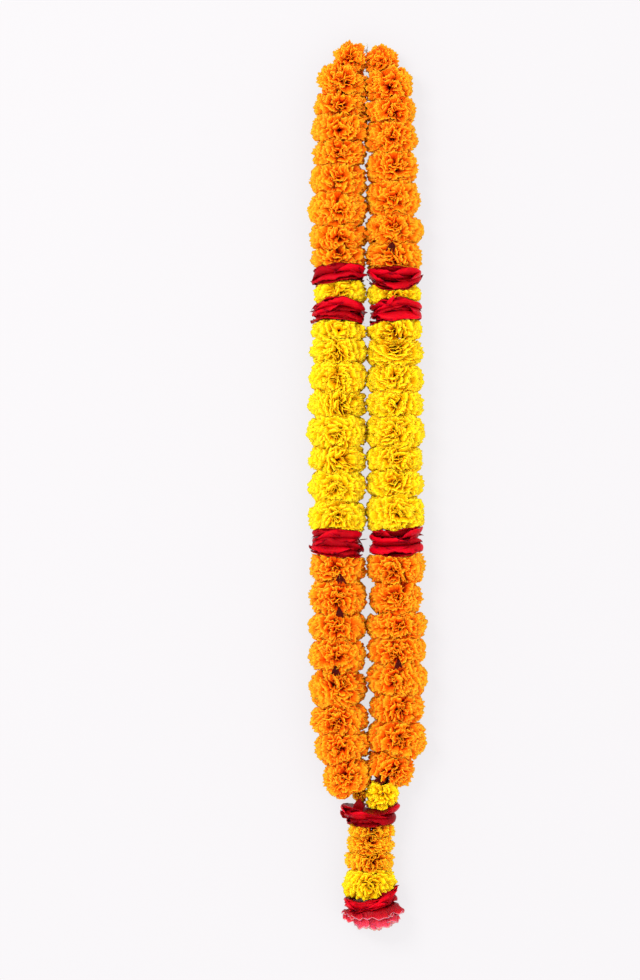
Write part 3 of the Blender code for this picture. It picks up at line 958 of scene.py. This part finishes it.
def cotton_thread():
    """Two twisted plies of cotton along the whole route, and the knot at the loop's top."""
    mesh_points, faces, spots = [], [], []
    route = thread_route()
    runs = [(even_steps(route, THREAD_STEP), 0), (even_steps(route, THREAD_STEP), math.pi),
            (even_steps(knot_route(route[2]), THREAD_STEP / 2), 0)]
    start = 0
    for number, ((points, marks), phase) in enumerate(runs):
        rings = ply(points, marks, phase)
        corners = len(rings) * PLY_SIDES
        index = start + np.arange(corners).reshape(-1, PLY_SIDES)
        faces += quads(np.concatenate([index, index[:, :1]], axis=1)).tolist()
        faces += [index[0][::-1].tolist(), index[-1].tolist()]
        sides = np.arange(PLY_SIDES + 1) / PLY_SIDES
        u, v = np.meshgrid(np.linspace(0, 1, len(rings)), sides, indexing="ij")
        strip = np.stack([u, (number + PLY_MARGIN + (1 - 2 * PLY_MARGIN) * v) / len(runs)], -1)
        grid = quads(np.arange(u.size).reshape(u.shape))
        spots.append(strip.reshape(-1, 2)[grid].reshape(-1, 2))
        spots.append(np.tile([0, (number + CAP_PLACE) / len(runs)], (2 * PLY_SIDES, 1)))
        mesh_points.append(rings.reshape(-1, 3))
        start += corners
    mesh = bpy.data.meshes.new("cotton thread")
    mesh.from_pydata(np.concatenate(mesh_points).tolist(), [], faces)
    mesh.shade_smooth()
    add_map(mesh, "OFBake", np.concatenate(spots))
    mesh.materials.append(MATERIALS["cotton"])
    piece = part_of_garland(in_scene("garland_thread_plies", mesh))
    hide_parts("garland_thread")


# ---------------------------------------------------------------- materials

# The dark of the sepals put as painted shade in gaps, of the petals nearest the thread, which is painted
# shade too, and of the twig on a band.
SHADE_AND_TWIG_DARK = (0.05, 0.002, 0.0005)
GAP_SHADE_STOPS = ((0, SHADE_AND_TWIG_DARK), (0.2, SHADE_AND_TWIG_DARK))  # painted shade: by the thread, in every head, and on its gap sepals

# The look of one kind of petals. stops: its colours from deep by the thread to bright at the
# outline, darker deep in partly as the petals' own deeper colour at their bases and partly as
# painted shade in the crevices; tint: by how much the darkest petals differ; rim: the colour of its
# rim, which begins at rim_start of its length; streaks: how many run along it, and veins: how dark
# they are; ends: how wide the dark of its two sides is, as a share of its half width.
Look = namedtuple("Look", "stops tint rim rim_start roughness streaks gloss veins ends",
                  defaults=(0.88, 0.65, 9, 0.05, 0.8, 0))
LOOKS = {
    "orange": Look(
        stops=(*GAP_SHADE_STOPS, (0.4, (0.60, 0.035, 0.001)), (0.65, (0.92, 0.14, 0.002)),
               (0.85, (1.0, 0.235, 0.003)), (1.0, (1.0, 0.30, 0.004))),
        tint=(0.98, 0.74, 0.8), rim=(1.0, 0.34, 0.01)),
    "yellow": Look(
        stops=(*GAP_SHADE_STOPS, (0.4, (0.96, 0.50, 0.001)), (0.65, (1.0, 0.58, 0.003)),
               (0.85, (1.0, 0.61, 0.004)), (1.0, (1.0, 0.63, 0.005))),
        tint=(0.98, 0.88, 0.8), rim=(1.0, 0.60, 0.01)),
    "amber": Look(
        stops=(*GAP_SHADE_STOPS, (0.45, (0.45, 0.05, 0.001)), (0.7, (0.86, 0.20, 0.003)),
               (0.88, (0.96, 0.32, 0.004)), (1.0, (0.98, 0.40, 0.006))),
        tint=(0.97, 0.8, 0.8), rim=(0.98, 0.45, 0.01)),
    "red": Look(
        stops=((0, SHADE_AND_TWIG_DARK), (0.05, (0.17, 0.0004, 0.002)), (0.6, (0.18, 0.0004, 0.002)),
               (0.8, (0.28, 0.0006, 0.003)), (0.92, (0.46, 0.0009, 0.006)), (1.02, (0.66, 0.001, 0.011))),
        tint=(0.65, 0.6, 0.8), rim=(0.11, 0.001, 0.008), rim_start=0.965,
        roughness=0.36, streaks=10, gloss=0.03, ends=0.22),
    "pink": Look(
        stops=((0.3, (0.24, 0.0006, 0.003)), (0.5, (0.46, 0.003, 0.012)), (0.7, (0.62, 0.025, 0.055)),
               (0.88, (0.66, 0.065, 0.12)), (1.0, (0.68, 0.12, 0.19))),
        tint=(0.85, 0.6, 0.7), rim=(0.62, 0.2, 0.27), rim_start=0.955,
        roughness=0.45, streaks=26, gloss=0.08, veins=0.6),
}
RIM_END = 0.99
STREAKS_ALONG = 1.2  # how often they change along a petal
GRAIN_RANGE = (0.3, 0.7)
BRIGHTEST_STREAK = 1.1
VEIN_RELIEF = 0.4 * MM


class Shading:
    """A new material and its nodes. An input's value is a socket to link to, or a constant."""

    def __init__(self, name):
        self.material = bpy.data.materials.new(name)
        self.material.use_nodes = True
        self.tree = self.material.node_tree
        self.shader = self.tree.nodes["Principled BSDF"]

    def node(self, kind, output, inputs, **settings):
        """The output socket of a new node."""
        node = self.tree.nodes.new("ShaderNode" + kind)
        for name, value in settings.items():
            setattr(node, name, value)
        self.fill(node, inputs)
        return node.outputs[output]

    def fill(self, node, inputs):
        for name, value in inputs.items():
            if isinstance(value, bpy.types.NodeSocket):
                self.tree.links.new(value, node.inputs[name])
            else:
                node.inputs[name].default_value = value

    def mix(self, factor, first, second, blend="MIX"):
        return self.node("Mix", "Result", {"Factor": factor, "A": first, "B": second},
                         data_type="RGBA", blend_type=blend)

    def spread(self, value, start, end, low=0, high=1):
        """A value's share of the way from start to end, as a share from low to high."""
        return self.node("MapRange", "Result", {"Value": value, "From Min": start, "From Max": end,
                                                "To Min": low, "To Max": high})

    def math(self, operation, first, second=0):
        return self.node("Math", "Value", {0: first, 1: second}, operation=operation)

    def ramp(self, share, stops):
        colour = self.node("ValToRGB", "Color", {"Fac": share})
        elements = colour.node.color_ramp.elements
        for i, (place, rgb) in enumerate(stops):
            element = elements[i] if i < 2 else elements.new(place)
            element.position = place
            element.color = (*rgb, 1)
        return colour


def petal_material(name, look):
    """Petals whose colour runs from deep by the thread to bright at the outline, partly their own colour
    and partly painted shade deep in, with a tone of each petal's own, streaks along it and a rim of another
    colour."""
    made = Shading(name)
    depth = made.node("Attribute", "Fac", {}, attribute_name="depth")
    tone = made.node("Attribute", "Fac", {}, attribute_name="tone")
    own = made.mix(tone, made.ramp(depth, look.stops), (*look.tint, 1), "MULTIPLY")

    spot = made.node("UVMap", "UV", {}, uv_map="petal")
    scale = (STREAKS_ALONG, look.streaks, 1)
    stretched_spot = made.node("Mapping", "Vector", {"Vector": spot, "Scale": scale})
    grain = made.node("TexNoise", "Fac", {"Vector": stretched_spot, "Scale": 1.0, "Detail": 3})
    streak = made.spread(grain, *GRAIN_RANGE, look.veins, BRIGHTEST_STREAK)
    veined = made.mix(1, own, streak, "MULTIPLY")

    split = made.node("SeparateXYZ", "X", {"Vector": spot}).node
    rim_share = made.spread(split.outputs["X"], look.rim_start, RIM_END)
    if look.ends:
        off_middle = made.math("ABSOLUTE", made.math("SUBTRACT", split.outputs["Y"], 0.5))
        side_share = made.spread(off_middle, 0.5 * (1 - look.ends), 0.5)
        rim_share = made.math("MAXIMUM", side_share, rim_share)
    relief = made.node("Bump", "Normal", {"Height": grain, "Strength": 0.35, "Distance": VEIN_RELIEF})
    made.fill(made.shader, {
        "Base Color": made.mix(rim_share, veined, (*look.rim, 1)), "Normal": relief,
        "Roughness": look.roughness, "Specular IOR Level": look.gloss, "Subsurface Weight": 0.5,
        "Subsurface Radius": (1, 0.4, 0.1), "Subsurface Scale": 2 * MM})
    return made.material


def cotton_material():
    """Off-white cotton with fine fibres."""
    made = Shading("cotton")
    spot = made.node("TexCoord", "Object", {})
    fibre = made.node("TexNoise", "Fac", {"Vector": spot, "Scale": 1500})
    colour = made.ramp(fibre, ((0.3, (0.38, 0.35, 0.30)), (0.7, (0.62, 0.60, 0.55))))
    made.fill(made.shader, {"Base Color": colour, "Roughness": 0.95})
    return made.material


# ---------------------------------------------------------------- camera, light and floor

CAMERA_PLACE = (-0.049, -0.0046, 2.838)
CAMERA_LENS = 100
CAMERA_SENSOR = 36
SKY = (1.0, 0.985, 1.0, 1)
SKY_STRENGTH = 1.65
# Round lights that face the middle of the floor: their places, diameters, powers and colours.
Light = namedtuple("Light", "place size power colour")
LIGHTS = {
    "key": Light((-1.3, 0.9, 2.3), 0.9, 34, (1, 0.99, 0.97)),
    "spark": Light((-0.9, 0.7, 2.6), 0.16, 12, (1, 0.99, 0.97)),
    "fill": Light((1.4, -0.8, 2.2), 1.6, 8, (1, 0.88, 0.78)),
}
FLOOR_SIZE = 14.0
FLOOR_COLOUR = (0.10, 0.097, 0.10, 1)
FLOOR_GLOW = 0.74  # the pale ground is lit from behind


def camera_over_garland():
    data = bpy.data.cameras.new("camera")
    data.lens = CAMERA_LENS
    data.sensor_width = CAMERA_SENSOR
    camera = in_scene("camera", data)
    camera.location = CAMERA_PLACE
    bpy.context.scene.camera = camera


def studio():
    world = bpy.data.worlds.new("studio")
    world.use_nodes = True
    background = world.node_tree.nodes["Background"]
    background.inputs["Color"].default_value = SKY
    background.inputs["Strength"].default_value = SKY_STRENGTH
    bpy.context.scene.world = world
    for name, light in LIGHTS.items():
        data = bpy.data.lights.new(name, "AREA")
        data.shape = "DISK"
        data.size, data.energy, data.color = light.size, light.power, light.colour
        lamp = in_scene(name, data)
        lamp.location = light.place
        lamp.rotation_euler = (-Vector(light.place)).to_track_quat("-Z", "Y").to_euler()
    bpy.context.scene.view_settings.view_transform = "Standard"


def floor():
    half = FLOOR_SIZE / 2
    corners = [(-half, -half, 0), (half, -half, 0), (half, half, 0), (-half, half, 0)]
    mesh = bpy.data.meshes.new("floor")
    mesh.from_pydata(corners, [], [(0, 1, 2, 3)])
    made = Shading("pale floor")
    made.fill(made.shader, {"Base Color": FLOOR_COLOUR, "Roughness": 1, "Specular IOR Level": 0,
                            "Emission Color": SKY, "Emission Strength": FLOOR_GLOW})
    mesh.materials.append(made.material)
    in_scene("floor", mesh)


# ---------------------------------------------------------------- the garland

STRANDS = {"left": strand_nodes("left", 9, 8) + ["junction_amber_head"],
           "right": strand_nodes("right", 8, 8) + ["junction_yellow_head"]}
TASSEL = ["tassel_red_band", "tassel_amber_1", "tassel_amber_2", "tassel_amber_3",
          "tassel_yellow_head", "tassel_red_petals", "tassel_pink_petals"]
MAKERS = {"red": petal_band, "pink": frilled_skirt}


def leaning(place, forward, rightward, upward):
    """A place moved along the thread, across it and up from it."""
    way, side, up = axes_of(place)
    shift = forward * way - rightward * side + upward * up
    return place._replace(start=place.start + shift, end=place.end + shift)


def stretched(place, further):
    """A place whose lower end is further down the thread."""
    return place._replace(end=place.end + further * unit(place.end - place.start))


def dress(places, seams, seed):
    made = {}
    for i, (place, limits) in enumerate(zip(places, seams)):
        rng = np.random.default_rng((seed, i))
        maker = MAKERS.get(place.kind, flower_head)
        made.setdefault(place.node, []).append(maker(place, limits, rng))
    for node, pieces in made.items():
        for piece in pieces:
            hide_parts(node)


camera_over_garland()
studio()
floor()
MATERIALS = {kind: petal_material(kind + " petals", look) for kind, look in LOOKS.items()}
MATERIALS["cotton"] = cotton_material()

PLACES = {side: places_on(nodes) for side, nodes in {**STRANDS, "tassel": TASSEL}.items()}
for side in ("left", "right"):
    PLACES[side][-2] = stretched(PLACES[side][-2], LAST_ORANGE_STRETCH)
    PLACES[side][-1] = leaning(PLACES[side][-1], *JUNCTION_LEAN[side])
STRAND_OF = {place.name: side for side in ("left", "right") for place in PLACES[side]}
EDGES = {"left": inner_edge(PLACES["left"], 1), "right": inner_edge(PLACES["right"], -1)}

cotton_thread()
tassel_seams = seams_along(PLACES["tassel"], np.random.default_rng(103))
neck = neck_seam(PLACES["tassel"][0], PLACES["right"][-1])
tassel_seams[0] = (neck, tassel_seams[0][1])
for seed, side in enumerate(("left", "right")):
    seams = seams_along(PLACES[side], np.random.default_rng(100 + seed))
    seams[-1] = (seams[-1][0], neck)
    dress(PLACES[side], seams, seed)
dress(PLACES["tassel"], tassel_seams, 3)
